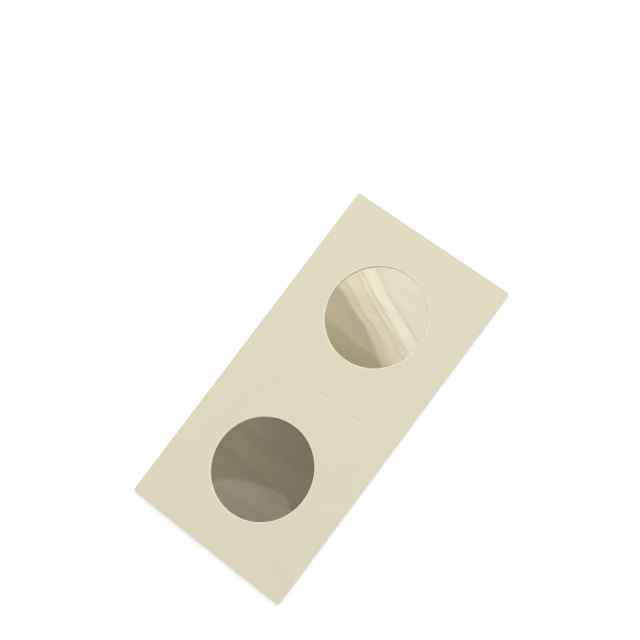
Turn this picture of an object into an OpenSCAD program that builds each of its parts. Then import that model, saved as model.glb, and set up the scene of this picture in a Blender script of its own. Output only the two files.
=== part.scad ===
// Coin holder flip: a scored card with two round windows, laminated inside with one clear film.
// It lies open and flat, film side down, as it is before a coin is put in and it is folded shut.
// X runs along the crease, Y across it towards the back leaf, and Z up out of the outer face.
// The origin is at the middle of the crease, on the film's underside. All lengths are in mm.

/* [Leaves] */
// Width of the flip, measured along the crease
leaf_w = 50; // [36:0.5:80]
// Length of each leaf, from the crease to its free edge
leaf_l = 50; // [36:0.5:80]
// Radius at the four outer corners of the blank
corner_r = 0.3; // [0.1:0.05:4]
// Thickness of the card
card_t = 0.5; // [0.35:0.05:1]

/* [Windows] */
// Diameter of the round window in each leaf
window_d = 28; // [15:0.5:32]
// Radius of the rolled edge that the punch leaves round a window on the outer face
rim_roll_r = 0.05; // [0.02:0.01:0.15]
// Width of the collar of card that the punch pulls down round a window
press_w = 0.42; // [0.2:0.02:0.8]
// How far the punch pulls the outer face down at a window's edge
press_depth = 0.05; // [0.02:0.01:0.1]

/* [Crease] */
// Width of the strip of card that bends when the flip is folded
crease_w = 0.8; // [0.7:0.05:2]
// Width of the groove that the scoring rule presses into the outer face
score_w = 0.56; // [0.3:0.02:0.64]
// Depth of that groove at its middle
score_depth = 0.08; // [0.04:0.01:0.2]

/* [Lamination] */
// Thickness of the clear film
film_t = 0.05; // [0.03:0.01:0.12]
// Thickness of the laminating adhesive between the film and the card
adhesive_t = 0.02; // [0.01:0.005:0.05]
// How far the adhesive stops short of the window's edge
adhesive_setback = 0.15; // [0.05:0.05:0.9]

/* [Hidden] */
$fn = 96;
card_color = [0.87, 0.85, 0.75];
film_color = [0.78, 0.80, 0.80, 0.35];
adhesive_color = [0.90, 0.88, 0.70, 0.50];
// How far a cutting shape runs past the surface that it cuts
overrun = 0.1;
// Each leaf starts where the crease strip ends
leaf_start = crease_w / 2;
// The window sits in the middle of its leaf
window_y = leaf_l / 2;
window_r = window_d / 2;
// Heights of the layers, from the film's underside up
adhesive_z = film_t;
card_z = adhesive_z + adhesive_t;
outer_z = card_z + card_t;
// Steps across the pressed collar, round the rolled edge and down each side of the score
collar_steps = 3;
roll_steps = 4;
score_steps = 6;
// Slope of the collar where it meets the rolled edge, and where that edge starts and ends
press_angle = atan(2 * press_depth / press_w);
roll_start = window_r + rim_roll_r * (1 - sin(press_angle));
roll_end_z = outer_z - press_depth - rim_roll_r * cos(press_angle);

// Outline of the back leaf, with its two free corners rounded
module leaf_outline() {
    union() {
        translate([-leaf_w / 2, leaf_start])
            square([leaf_w, leaf_l - corner_r - leaf_start]);
        translate([corner_r - leaf_w / 2, leaf_start])
            square([leaf_w - 2 * corner_r, leaf_l - leaf_start]);
        for (side = [-1, 1])
            translate([side * (leaf_w / 2 - corner_r), leaf_l - corner_r])
                circle(r = corner_r);
    }
}

// One layer of the back leaf, from z0 up by t
module leaf_layer(z0, t) {
    translate([0, 0, z0])
        linear_extrude(height = t)
            leaf_outline();
}

// One layer of the crease strip, from z0 up by t
module crease_layer(z0, t) {
    translate([-leaf_w / 2, -leaf_start, z0])
        cube([leaf_w, crease_w, t]);
}

// Round cut through a layer of the back leaf at its window
module window_cut(z0, t, r) {
    translate([0, window_y, z0 - overrun])
        cylinder(h = t + 2 * overrun, r = r);
}

// Collar round a window, from the flat face down to the rolled edge; share runs from 1 to 0
function collar_point(share) = [
    roll_start + press_w * share,
    outer_z - press_depth * pow(1 - share, 2)
];

// Rolled edge, from the collar down to the window's wall; share runs from 0 to 1
function roll_point(share) =
    let (turn = press_angle + (90 - press_angle) * share) [
        window_r + rim_roll_r * (1 - sin(turn)),
        roll_end_z + rim_roll_r * cos(turn)
    ];

// Ring that shapes a window's edge at the outer face: a pressed collar, then a rolled edge
module rim_cut() {
    collar = [for (i = [0 : collar_steps]) collar_point(1 - i / collar_steps)];
    roll = [for (i = [1 : roll_steps]) roll_point(i / roll_steps)];
    above = [
        [window_r - overrun, roll_end_z],
        [window_r - overrun, outer_z + overrun],
        [roll_start + press_w, outer_z + overrun]
    ];
    translate([0, window_y, 0])
        rotate_extrude()
            polygon(concat(collar, roll, above));
}

// Groove pressed across the outer face, with soft shoulders
module score_cut() {
    valley = [
        for (i = [-score_steps : score_steps])
            let (share = i / score_steps)
                [score_w / 2 * share, -score_depth * (1 + cos(180 * share)) / 2]
    ];
    above = [[score_w / 2, overrun], [-score_w / 2, overrun]];
    translate([-leaf_w / 2 - overrun, 0, outer_z])
        rotate([90, 0, 90])
            linear_extrude(height = leaf_w + 2 * overrun)
                polygon(concat(valley, above));
}

// The front leaf mirrors the back one across the crease
module as_front() {
    mirror([0, 1, 0])
        children();
}

module back_card() {
    color(card_color)
        difference() {
            leaf_layer(card_z, card_t);
            window_cut(card_z, card_t, window_r);
            rim_cut();
        }
}

module front_card() {
    as_front()
        back_card();
}

// The scored strip of card that joins the two leaves
module crease_web() {
    color(card_color)
        difference() {
            crease_layer(card_z, card_t);
            score_cut();
        }
}

module back_adhesive() {
    color(adhesive_color)
        difference() {
            leaf_layer(adhesive_z, adhesive_t);
            window_cut(adhesive_z, adhesive_t, window_r + adhesive_setback);
        }
}

module front_adhesive() {
    as_front()
        back_adhesive();
}

module crease_adhesive() {
    color(adhesive_color)
        crease_layer(adhesive_z, adhesive_t);
}

// The film closes the windows, so it has no cut
module back_film() {
    color(film_color)
        leaf_layer(0, film_t);
}

module front_film() {
    as_front()
        back_film();
}

module crease_film() {
    color(film_color)
        crease_layer(0, film_t);
}

back_card();
front_card();
crease_web();
back_adhesive();
front_adhesive();
crease_adhesive();
back_film();
front_film();
crease_film();
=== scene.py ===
"""Coin holder flip, lying open with its film side down: its looks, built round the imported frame.

Lengths are in metres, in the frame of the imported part: X along the crease, Y across it towards the
back leaf, Z up out of the outer face. Sizes that the frame gives are read from it, and the finer
ones are dataclass fields, written in millimetres times MM. The finishes work in millimetres on the
flat flip, since every mesh remembers where its points lie on it.
"""
import logging
import math
from dataclasses import dataclass, replace
from enum import Enum
from typing import Any, Iterable, Sequence

import bmesh
import bpy
import numpy as np
from mathutils import Matrix, Vector


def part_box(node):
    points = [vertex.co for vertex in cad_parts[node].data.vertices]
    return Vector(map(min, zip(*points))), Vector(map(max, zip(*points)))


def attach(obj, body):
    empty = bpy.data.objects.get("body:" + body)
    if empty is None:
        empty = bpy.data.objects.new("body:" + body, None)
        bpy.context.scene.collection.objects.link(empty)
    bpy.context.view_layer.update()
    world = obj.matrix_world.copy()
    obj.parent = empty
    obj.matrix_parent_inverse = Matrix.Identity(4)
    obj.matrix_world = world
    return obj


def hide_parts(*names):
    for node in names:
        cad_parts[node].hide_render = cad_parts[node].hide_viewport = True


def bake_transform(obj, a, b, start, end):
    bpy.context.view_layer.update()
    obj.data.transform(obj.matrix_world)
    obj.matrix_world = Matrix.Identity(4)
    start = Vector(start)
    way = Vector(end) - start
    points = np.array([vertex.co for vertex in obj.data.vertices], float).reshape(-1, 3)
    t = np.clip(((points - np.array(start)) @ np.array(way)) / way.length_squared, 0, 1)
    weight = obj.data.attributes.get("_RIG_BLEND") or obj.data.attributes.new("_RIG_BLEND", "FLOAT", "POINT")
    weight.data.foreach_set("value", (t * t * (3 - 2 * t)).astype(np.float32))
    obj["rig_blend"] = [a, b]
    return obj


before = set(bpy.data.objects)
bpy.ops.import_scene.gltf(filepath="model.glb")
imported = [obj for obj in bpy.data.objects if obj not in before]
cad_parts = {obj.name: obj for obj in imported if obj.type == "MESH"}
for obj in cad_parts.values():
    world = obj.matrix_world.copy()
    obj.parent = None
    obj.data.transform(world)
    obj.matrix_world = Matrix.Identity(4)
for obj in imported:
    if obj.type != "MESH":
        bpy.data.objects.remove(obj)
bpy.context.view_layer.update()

LOG = logging.getLogger("coin_flip")
MM = 0.001
# Mesh attributes that the finishes read: a point's place on the flat flip, and how raw a face is, by which
# the board lays its paler skin, partly a painted highlight, and lightens its cut walls as painted light
REST = "rest_mm"
CUT = "cut"
Points = np.ndarray
Number = float | int
Colour = tuple[float, float, float, float]
Place = tuple[float, float, float]
Span = tuple[float, float]


class Leaf(Enum):
    """A leaf of the flip, by the side of the crease that it lies on."""

    BACK = 1
    FRONT = -1

    @property
    def body(self) -> str:
        """The moving body that the leaf is."""
        return f"{self.name.lower()}_leaf"

    def node(self, layer: str) -> str:
        """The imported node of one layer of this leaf."""
        return f"{self.name.lower()}_{layer}"


class Slot(Enum):
    """The record's material slots."""

    CARD = "card"
    FILM = "film"
    ADHESIVE = "adhesive"


class Draw(Enum):
    """The seed of each random draw."""

    RIM_ANGLE = 1
    RIM_HEIGHT = 2
    RIM_HEADING = 3
    FIBRE_LENGTH = 5
    FIBRE_ROLL = 6
    FIBRE_TILT = 7
    SCORE_SIDE = 8
    SCORE_PLACE = 9
    SCORE_LIP = 10
    SCORE_HEIGHT = 11
    SCORE_HEADING = 12
    SPECK_SIZE = 21
    SPECK_HEADING = 22
    SPECK_LENGTH = 23


class Wobble(Enum):
    """What strays from its line: the number of long waves along its path, and its seed."""

    WINDOW_WALL = (41, 60)
    OUTER_WALL = (83, 90)
    SCORE_LINE = (7, 77)
    SCORE_DEPTH = (37, 78)
    # Swings the strength of the painted highlight along the score's front shoulder
    SCORE_LIP = (31, 79)
    ADHESIVE_EDGE = (23, 31)

    def along(self, share: Points, variant: int = 0) -> Points:
        """A smooth, repeatable wobble along a path, which closes where the path does.

        Args:
            share: How far along the path each point is, from 0 to 1.
            variant: Which of its forms to give.

        Returns:
            A value between -1 and 1 for each point.
        """
        octaves, fade, growth = 5, 0.62, 1.9
        waves, seed = self.value
        rng = np.random.default_rng(seed + variant)
        total = np.zeros_like(share, dtype=float)
        for octave in range(octaves):
            turns = round(waves * growth ** octave)
            total += fade ** octave * np.sin(2 * math.pi * (turns * share + rng.uniform()))
        return total / sum(fade ** octave for octave in range(octaves))


@dataclass(frozen=True)
class FlipSizes:
    """The flip's main sizes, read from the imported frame.

    Args:
        half_w: Half the width along the crease.
        leaf_l: Length of a leaf from the crease to its free edge.
        crease_half: Half the width of the strip that bends.
        adhesive_z: Height of the film's upper face.
        card_z: Height of the card's inner face.
        outer_z: Height of the card's outer face.
        window_r: Radius of the windows.
        adhesive_r: Radius of the adhesive's openings.
        corner_r: Radius at the blank's four corners.
        score_half: Half the score's width at the outer face.
        web_t: Card left under the score.
    """

    half_w: float
    leaf_l: float
    crease_half: float
    adhesive_z: float
    card_z: float
    outer_z: float
    window_r: float = 14.0 * MM
    adhesive_r: float = 14.15 * MM
    corner_r: float = 0.3 * MM
    score_half: float = 0.28 * MM
    web_t: float = 0.42 * MM

    @classmethod
    def from_frame(cls) -> "FlipSizes":
        """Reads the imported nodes' boxes.

        Returns:
            The sizes of the flip as packed.
        """
        card_low, card_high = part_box(Leaf.BACK.node("card"))
        film_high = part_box(Leaf.BACK.node("film"))[1]
        return cls(
            half_w=card_high.x,
            leaf_l=card_high.y,
            crease_half=card_low.y,
            adhesive_z=film_high.z,
            card_z=card_low.z,
            outer_z=card_high.z,
        )

    @property
    def card_t(self) -> float:
        """Thickness of the card."""
        return self.outer_z - self.card_z

    def window_centre(self, leaf: Leaf) -> Points:
        """Centre of a leaf's window, in plan."""
        return np.array([0.0, leaf.value * self.leaf_l / 2])


def pick(sockets: Iterable[Any], key: str | int) -> Any:
    """Finds a socket by its place, its identifier or its name.

    Args:
        sockets: A node's inputs or outputs.
        key: Place, identifier or name.

    Returns:
        The socket.
    """
    found = list(sockets)
    if isinstance(key, int):
        return found[key]
    for socket in found:
        if socket.identifier == key:
            return socket
    return next(socket for socket in found if socket.name == key)


class Tree:
    """A node tree, shader or geometry, to which one method adds any node."""

    def __init__(self, tree: bpy.types.NodeTree) -> None:
        """Wraps a node tree and empties it."""
        self.tree = tree
        tree.nodes.clear()

    def node(
        self,
        kind: str,
        settings: dict[str, Any] | None = None,
        inputs: dict[str | int, Any] | None = None,
        out: str | int = 0,
    ) -> "Wire":
        """Adds a node.

        Args:
            kind: The node's type.
            settings: Its properties, set before its sockets.
            inputs: A value or a wire for each named socket.
            out: Which output to give.

        Returns:
            The output as a wire.
        """
        made = self.tree.nodes.new(kind)
        for name, value in (settings or {}).items():
            setattr(made, name, value)
        for name, value in (inputs or {}).items():
            socket = pick(made.inputs, name)
            if isinstance(value, Wire):
                self.tree.links.new(value.socket, socket)
            else:
                socket.default_value = value
        return Wire(self, pick(made.outputs, out) if len(made.outputs) else None)

    def math(self, operation: str, *terms: "Wire | Number") -> "Wire":
        """Adds a Math node on values."""
        return self.node("ShaderNodeMath", {"operation": operation}, dict(enumerate(terms)))

    def vector(self, operation: str, *terms: Any, out: str | int = 0) -> "Wire":
        """Adds a Vector Math node."""
        settings = {"operation": operation}
        return self.node("ShaderNodeVectorMath", settings, dict(enumerate(terms)), out)

    def part(self, vector: "Wire", axis: str) -> "Wire":
        """One part of a vector."""
        return self.node("ShaderNodeSeparateXYZ", None, {"Vector": vector}, axis)

    def blend(self, share: "Wire | Number", low: Any, high: Any) -> "Wire":
        """Mixes two colours by a share."""
        colours = {"Factor_Float": share, "A_Color": low, "B_Color": high}
        return self.node("ShaderNodeMix", {"data_type": "RGBA"}, colours, "Result_Color")

    def layer(self, share: "Wire | Number", low: "Wire", high: "Wire") -> "Wire":
        """Mixes two shaders by a share."""
        return self.node("ShaderNodeMixShader", None, {0: share, 1: low, 2: high})

    def bump(self, distance: Number, height: "Wire", below: "Wire | None" = None) -> "Wire":
        """Adds relief.

        Args:
            distance: How far a height of 1 stands up, in metres.
            height: The relief.
            below: The normal that it is laid on, if that isn't the mesh's own.

        Returns:
            The normal.
        """
        inputs = {"Strength": 1.0, "Distance": distance, "Height": height}
        return self.node("ShaderNodeBump", None, inputs | ({"Normal": below} if below else {}))


class Wire:
    """A node's output, on which Python's operators add Math nodes."""

    def __init__(self, tree: Tree, socket: Any) -> None:
        """Holds one output of a tree's node."""
        self.tree = tree
        self.socket = socket

    def also(self, out: str | int) -> "Wire":
        """Another output of the same node."""
        return Wire(self.tree, pick(self.socket.node.outputs, out))

    def __add__(self, other: "Wire | Number") -> "Wire":
        """Adds."""
        return self.tree.math("ADD", self, other)

    __radd__ = __add__

    def __sub__(self, other: "Wire | Number") -> "Wire":
        """Subtracts."""
        return self.tree.math("SUBTRACT", self, other)

    def __rsub__(self, other: Number) -> "Wire":
        """Subtracts this from a number."""
        return self.tree.math("SUBTRACT", other, self)

    def __mul__(self, other: "Wire | Number") -> "Wire":
        """Multiplies."""
        return self.tree.math("MULTIPLY", self, other)

    __rmul__ = __mul__

    def __truediv__(self, other: "Wire | Number") -> "Wire":
        """Divides."""
        return self.tree.math("DIVIDE", self, other)

    def __rtruediv__(self, other: Number) -> "Wire":
        """Divides a number by this."""
        return self.tree.math("DIVIDE", other, self)

    def __pow__(self, other: Number) -> "Wire":
        """Raises to a power."""
        return self.tree.math("POWER", self, other)

    def __abs__(self) -> "Wire":
        """Drops the sign."""
        return self.tree.math("ABSOLUTE", self)

    def sin(self) -> "Wire":
        """Sine of an angle in radians."""
        return self.tree.math("SINE", self)

    def most(self, other: "Wire | Number") -> "Wire":
        """The larger of two values."""
        return self.tree.math("MAXIMUM", self, other)

    def step(self, start: Number, end: Number) -> "Wire":
        """Rises smoothly from 0 to 1.

        Args:
            start: Value at which it leaves 0.
            end: Value at which it reaches 1, which may be below start.

        Returns:
            The smooth step.
        """
        rising = self.tree.node(
            "ShaderNodeMapRange",
            {"interpolation_type": "SMOOTHSTEP"},
            {"Value": self, "From Min": min(start, end), "From Max": max(start, end)},
        )
        return rising if end > start else 1 - rising


@dataclass(frozen=True)
class Mottle:
    """A noise over the flat flip, which shows where it lies between two levels.

    Args:
        pace: Its lumps for each millimetre, after any stretch.
        detail: How many finer copies it holds.
        rough: How strong they are.
        shown: Levels at which it starts to show and shows fully.
        shift: How far its pattern is moved, in millimetres.
        turn: Turn of its pattern about Z, in degrees, which is read only beside a stretch.
        stretch: Scale of its pattern along each axis, if it is stretched.
    """

    pace: float
    detail: float = 3.0
    rough: float = 0.55
    shown: Span = (0.0, 1.0)
    shift: Place | None = None
    turn: float = 0.0
    stretch: Place | None = None

    def level(self, tree: Tree, place: Wire) -> Wire:
        """The noise itself.

        Args:
            tree: The tree to build in.
            place: Where it is read, in millimetres.

        Returns:
            A value between about 0 and 1.
        """
        if self.shift:
            place = tree.vector("ADD", place, self.shift)
        if self.stretch:
            turn = (0.0, 0.0, math.radians(self.turn))
            inputs = {"Vector": place, "Rotation": turn, "Scale": self.stretch}
            place = tree.node("ShaderNodeMapping", {"vector_type": "POINT"}, inputs)
        inputs = {"Vector": place, "Scale": self.pace, "Detail": self.detail, "Roughness": self.rough}
        return tree.node("ShaderNodeTexNoise", None, inputs)

    def show(self, level: Wire) -> Wire:
        """How much it shows at a level, from 0 to 1."""
        return level.step(*self.shown)


@dataclass(frozen=True)
class Finish:
    """What every finish has in common.

    Args:
        name: Name of its material.
    """

    name: str

    def surface(self, tree: Tree) -> Wire:
        """The finish's shader."""
        raise NotImplementedError

    def material(self) -> bpy.types.Material:
        """Builds the material.

        Returns:
            A material whose output is the finish's shader.
        """
        made = bpy.data.materials.new(self.name)
        made.use_nodes = True
        tree = Tree(made.node_tree)
        tree.node("ShaderNodeOutputMaterial", None, {"Surface": self.surface(tree)})
        return made

    @staticmethod
    def rest(tree: Tree) -> Wire:
        """Each point's place on the flat flip, in millimetres, which stays with it when it bends."""
        return tree.node("ShaderNodeAttribute", {"attribute_name": REST}, None, "Vector")


@dataclass(frozen=True)
class BoardFinish(Finish):
    """Uncoated cream board: fibres, a faint cloudiness, a few flecks, its raw inside at the cuts lightened as
    painted light, and paler skin at edges and along the score that is partly a painted highlight.

    Args:
        face: Colour of the outer face.
        shade: Colour of its darker clouds.
        warm: Colour of its warmer clouds.
        pale_and_highlight: Colour of the skin where a punch has pressed and stretched it, which is also laid
            on rolled edges and along the score as a painted highlight.
        raw_core_and_light: Colour where a blade has opened the board, lightened as painted light so that cut
            walls in shade look lit.
        ply: Colour of the darker plies in a cut edge, and of gaps between fibres.
        fleck: Colour of the flecks.
        clouds: Where the face's own colour shows between the darker clouds.
        warmth: Where the warmer clouds show.
        warm_share: How warm they get.
        fibre_mm: Length of a fibre.
        fibre_lie: Lumps to a fibre's length, along, across and through it.
        fibre_turns: Each layer of fibres: its direction, in degrees, and its shift, in millimetres.
        fibre_gaps: Levels at which the gaps between fibres start to show and show fully.
        fibre_dark: How dark those gaps get.
        fibre_raw: The same levels where the board is cut open.
        fibre_raw_dark: How dark the gaps get there.
        pulp: The finer lumps between the fibres.
        pulp_dark: How dark they get.
        fleck_pace: Places for a small fleck, for each millimetre.
        fleck_lots: Lots, from 0 to 1, from which a place has a fleck and has the largest.
        fleck_size: Radius of the largest small fleck, as a share of the space between two.
        fleck_soft: Width of a small fleck's soft edge, as such a share.
        fleck_least: Sizes below which a fleck fades away.
        fleck_at: Where the one large fleck lies on the blank, in millimetres.
        fleck_mm: Its radius.
        fleck_core: The share of it that is fully dark.
        fleck_share: How dark the flecks get.
        ply_pace: Turns of the plies for each millimetre of height, in radians.
        ply_warp: The noise that bends them.
        ply_bend: How far it bends them, in radians.
        ply_share: How dark they get.
        pressed: Rawness at which the paler skin, partly a painted highlight, starts to show and shows fully.
        opened: Rawness at which the board's opened inside, lightened as painted light, starts to show and
            shows fully.
        fibre_bump: Height of the fibres, in metres.
        fibre_part: The fibres' part in the relief, beside the pulp's.
        wave: The board's slow waves.
        wave_bump: Height of those waves, in metres.
        rough: Roughness in the gaps between fibres.
        rough_fibre: How much rougher the fibres are.
        gloss: Strength of the plain mirror-like light.
        sheen: Strength of the fuzz's sheen, and its roughness.
    """

    face: Colour = (0.756, 0.716, 0.566, 1.0)
    shade: Colour = (0.736, 0.698, 0.554, 1.0)
    warm: Colour = (0.768, 0.718, 0.558, 1.0)
    pale_and_highlight: Colour = (0.895, 0.855, 0.670, 1.0)
    raw_core_and_light: Colour = (0.925, 0.880, 0.690, 1.0)
    ply: Colour = (0.760, 0.705, 0.525, 1.0)
    fleck: Colour = (0.300, 0.235, 0.150, 1.0)
    clouds: Mottle = Mottle(1 / 9.0, 4.0, 0.6, (0.25, 0.75))
    warmth: Mottle = Mottle(0.7 / 9.0, 2.0, shown=(0.42, 0.70), shift=(41.0, 7.0, 0.0))
    warm_share: float = 0.4
    fibre_mm: float = 0.55
    fibre_lie: Place = (0.8, 5.5, 1.0)
    fibre_turns: tuple[Span, ...] = ((18.0, 3.1), (74.0, 11.7), (131.0, 23.9))
    fibre_gaps: Span = (0.42, 0.70)
    fibre_dark: float = 0.10
    fibre_raw: Span = (0.4, 0.8)
    fibre_raw_dark: float = 0.25
    pulp: Mottle = Mottle(1.6, 5.0, 0.65, (0.45, 0.75))
    pulp_dark: float = 0.06
    fleck_pace: float = 0.26
    fleck_lots: Span = (0.80, 1.0)
    fleck_size: float = 0.028
    fleck_soft: float = 0.004
    fleck_least: Span = (0.001, 0.006)
    fleck_at: Place = (-3.17, -48.9, 0.57)
    fleck_mm: float = 0.15
    fleck_core: float = 0.6
    fleck_share: float = 0.55
    ply_pace: float = 31.0
    ply_warp: Mottle = Mottle(2.2)
    ply_bend: float = 3.0
    ply_share: float = 0.45
    pressed: Span = (0.0, 0.5)
    opened: Span = (0.55, 1.0)
    fibre_bump: float = 0.006 * MM
    fibre_part: float = 0.75
    wave: Mottle = Mottle(0.045, 1.0)
    wave_bump: float = 0.12 * MM
    rough: float = 0.80
    rough_fibre: float = 0.16
    gloss: float = 0.32
    sheen: Span = (0.05, 0.6)

    def fibres(self, tree: Tree, place: Wire) -> Wire:
        """Fibres lying in several directions.

        Args:
            tree: The tree to build in.
            place: The place on the flat flip.

        Returns:
            One value, higher on a fibre.
        """
        fine = 1 / self.fibre_mm
        stretch = tuple(lumps * fine for lumps in self.fibre_lie)
        total: Wire | None = None
        for turn, shift in self.fibre_turns:
            layer = Mottle(1.0, 2.0, 0.6, shift=(shift, 0.7 * shift, 0.0), turn=turn, stretch=stretch)
            lines = layer.level(tree, place)
            total = lines if total is None else total + lines
        return total / len(self.fibre_turns)

    def flecks(self, tree: Tree, place: Wire) -> Wire:
        """The small flecks and the one large one.

        Args:
            tree: The tree to build in.
            place: The place on the flat flip.

        Returns:
            1 on a fleck, and 0 off it.
        """
        inputs = {"Vector": place, "Scale": self.fleck_pace, "Randomness": 1.0}
        spots = tree.node("ShaderNodeTexVoronoi", {"feature": "F1"}, inputs)
        lot = tree.node("ShaderNodeSeparateColor", None, {"Color": spots.also("Color")}, "Green")
        size = lot.step(*self.fleck_lots) * self.fleck_size
        small = (size - spots).step(0.0, self.fleck_soft) * size.step(*self.fleck_least)
        far = tree.vector("DISTANCE", place, self.fleck_at, out="Value")
        return small.most(far.step(self.fleck_mm, self.fleck_core * self.fleck_mm))

    def skin(self, tree: Tree, place: Wire, fibres: Wire, pulp: Wire) -> Wire:
        """Colour of the board's faces.

        Args:
            tree: The tree to build in.
            place: The place on the flat flip.
            fibres: The fibres.
            pulp: The lumps between them.

        Returns:
            The colour.
        """
        clouds = self.clouds.show(self.clouds.level(tree, place))
        warmth = self.warmth.show(self.warmth.level(tree, place))
        colour = tree.blend(clouds, self.shade, self.face)
        colour = tree.blend(warmth * self.warm_share, colour, self.warm)
        gaps = (1 - fibres).step(*self.fibre_gaps) * self.fibre_dark
        colour = tree.blend(gaps + self.pulp.show(1 - pulp) * self.pulp_dark, colour, self.ply)
        return tree.blend(self.flecks(tree, place) * self.fleck_share, colour, self.fleck)

    def inside(self, tree: Tree, place: Wire, fibres: Wire) -> Wire:
        """Colour of the board where it is cut open, with its plies, lightened as painted light.

        Args:
            tree: The tree to build in.
            place: The place on the flat flip.
            fibres: The fibres.

        Returns:
            The colour.
        """
        warp = self.ply_warp.level(tree, place) * self.ply_bend
        plies = (tree.part(place, "Z") * self.ply_pace + warp).sin() * 0.5 + 0.5
        gaps = (1 - fibres).step(*self.fibre_raw) * self.fibre_raw_dark
        return tree.blend(plies * self.ply_share + gaps, self.raw_core_and_light, self.ply)

    def surface(self, tree: Tree) -> Wire:
        """The board's shader.

        Args:
            tree: The tree to build in.

        Returns:
            A Principled shader.
        """
        place = self.rest(tree)
        cut = tree.node("ShaderNodeAttribute", {"attribute_name": CUT}, None, "Fac")
        fibres = self.fibres(tree, place)
        pulp = self.pulp.level(tree, place)
        # Paler skin at rolled edges, collars and along the score: partly stretched skin, partly a painted
        # highlight
        colour = tree.blend(cut.step(*self.pressed), self.skin(tree, place, fibres, pulp), self.pale_and_highlight)
        # Cut walls: the opened board, lightened as painted light where they stand in shade
        colour = tree.blend(cut.step(*self.opened), colour, self.inside(tree, place, fibres))
        relief = fibres * self.fibre_part + pulp * (1 - self.fibre_part)
        slow = tree.bump(self.wave_bump, self.wave.level(tree, place))
        return tree.node(
            "ShaderNodeBsdfPrincipled",
            None,
            {
                "Base Color": colour,
                "Roughness": self.rough + fibres * self.rough_fibre,
                "Normal": tree.bump(self.fibre_bump, relief, slow),
                "Specular IOR Level": self.gloss,
                "Sheen Weight": self.sheen[0],
                "Sheen Roughness": self.sheen[1],
            },
        )


@dataclass(frozen=True)
class FilmFinish(Finish):
    """Glossy film, clear where the card backs it, and darkened with painted shade, a smoky tint and a dark
    scattering layer, where a window leaves it free.

    Args:
        centre_mm: How far each window's centre is from the crease.
        free_mm: Distances from that centre at which the film is bonded and is free.
        painted_shade_tint: What one face of the free film lets through, darkened far past the clear film as
            painted shade.
        clear: What one face of the bonded film lets through.
        scatter_and_shade: Colour that the free film scatters, a dark brown standing in for shade: painted
            shade.
        bloom: Colour of the light that the bonded film scatters.
        painted_shade_share: How much of the light the free film stops, as painted shade.
        bloom_share: How much of it the bonded film stops.
        bands: The rolling bands of painted shade in which it stops more.
        shade_band_share: How much more painted shade.
        haze: Its fine unevenness.
        haze_share: How much more or less it stops for that.
        fade: How much more it stops for each millimetre along the crease, so the painted shade darkens
            towards +X.
        matt: Roughness of what it scatters.
        bounce: Share of the light that one face mirrors, seen square on.
        facing: Balance of the slant that raises that share.
        falloff: Power of the slant in it.
        rubs: Where it is rubbed.
        scuff: Roughness where it is rubbed.
        sheen: Roughness where it is clean.
        grain: The card's grain as it shows through.
        grain_bump: Height of that grain, in metres.
    """

    centre_mm: float = 25.0
    free_mm: Span = (14.06, 13.98)
    painted_shade_tint: Colour = (0.893, 0.855, 0.722, 1.0)
    clear: Colour = (0.985, 0.985, 0.975, 1.0)
    scatter_and_shade: Colour = (0.140, 0.112, 0.054, 1.0)
    bloom: Colour = (0.500, 0.480, 0.400, 1.0)
    painted_shade_share: float = 0.548
    bloom_share: float = 0.035
    bands: Mottle = Mottle(
        1.0, 2.0, shown=(0.38, 0.62), shift=(30.0, 35.0, 0.0), turn=-11.0, stretch=(0.02, 0.15, 0.2)
    )
    shade_band_share: float = 0.11
    haze: Mottle = Mottle(0.9, 6.0, 0.7)
    haze_share: float = 0.05
    fade: float = 0.009
    matt: float = 0.7
    bounce: float = 0.044
    facing: float = 0.5
    falloff: float = 5.0
    rubs: Mottle = Mottle(1.0, 1.0, shown=(0.45, 0.85), turn=37.0, stretch=(0.05, 0.16, 0.2))
    scuff: float = 0.06
    sheen: float = 0.025
    grain: Mottle = Mottle(1.9, 4.0, 0.6)
    grain_bump: float = 0.004 * MM

    def body(self, tree: Tree, place: Wire, x: Wire, free: Wire) -> Wire:
        """What the film lets through and scatters.

        Args:
            tree: The tree to build in.
            place: The place on the flat flip.
            x: That place along the crease.
            free: 1 where the film is free, and 0 where it is bonded.

        Returns:
            A Transparent shader with a scattering layer mixed in, both darkened as painted shade where the
            film is free.
        """
        bands = self.bands.show(self.bands.level(tree, place)) - 0.5
        haze = self.haze.level(tree, place) - 0.5
        bonded = tree.node("ShaderNodeBsdfTransparent", None, {"Color": self.clear})
        shade_tinted = tree.node("ShaderNodeBsdfTransparent", None, {"Color": self.painted_shade_tint})
        scatter_and_shade = tree.node(
            "ShaderNodeBsdfPrincipled",
            None,
            {
                "Base Color": tree.blend(free, self.bloom, self.scatter_and_shade),
                "Roughness": self.matt,
                "Specular IOR Level": 0.0,
            },
        )
        # Where the film is free, what it stops and its dark tint are painted shade, with bands, haze and a
        # fade towards +X
        stopped = self.bloom_share + (self.painted_shade_share - self.bloom_share) * free
        uneven = 1 + self.fade * x + self.shade_band_share * bands + self.haze_share * haze
        return tree.layer(stopped * uneven, tree.layer(free, bonded, shade_tinted), scatter_and_shade)

    def surface(self, tree: Tree) -> Wire:
        """The film's shader.

        Args:
            tree: The tree to build in.

        Returns:
            The film's body with gloss mixed in.
        """
        place = self.rest(tree)
        x = tree.part(place, "X")
        y = abs(x.also("Y")) - self.centre_mm
        free = ((x * x + y * y) ** 0.5).step(*self.free_mm)
        rubbed = self.rubs.show(self.rubs.level(tree, place))
        gloss = tree.node(
            "ShaderNodeBsdfPrincipled",
            None,
            {
                "Base Color": (1.0, 1.0, 1.0, 1.0),
                "Metallic": 1.0,
                "Roughness": self.sheen + (self.scuff - self.sheen) * rubbed,
                "Normal": tree.bump(self.grain_bump, self.grain.level(tree, place) * (1 - free)),
            },
        )
        slant = tree.node("ShaderNodeLayerWeight", None, {"Blend": self.facing}, "Facing")
        mirror = self.bounce + (1 - self.bounce) * slant ** self.falloff
        return tree.layer(mirror, self.body(tree, place, x, free), gloss)


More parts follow.
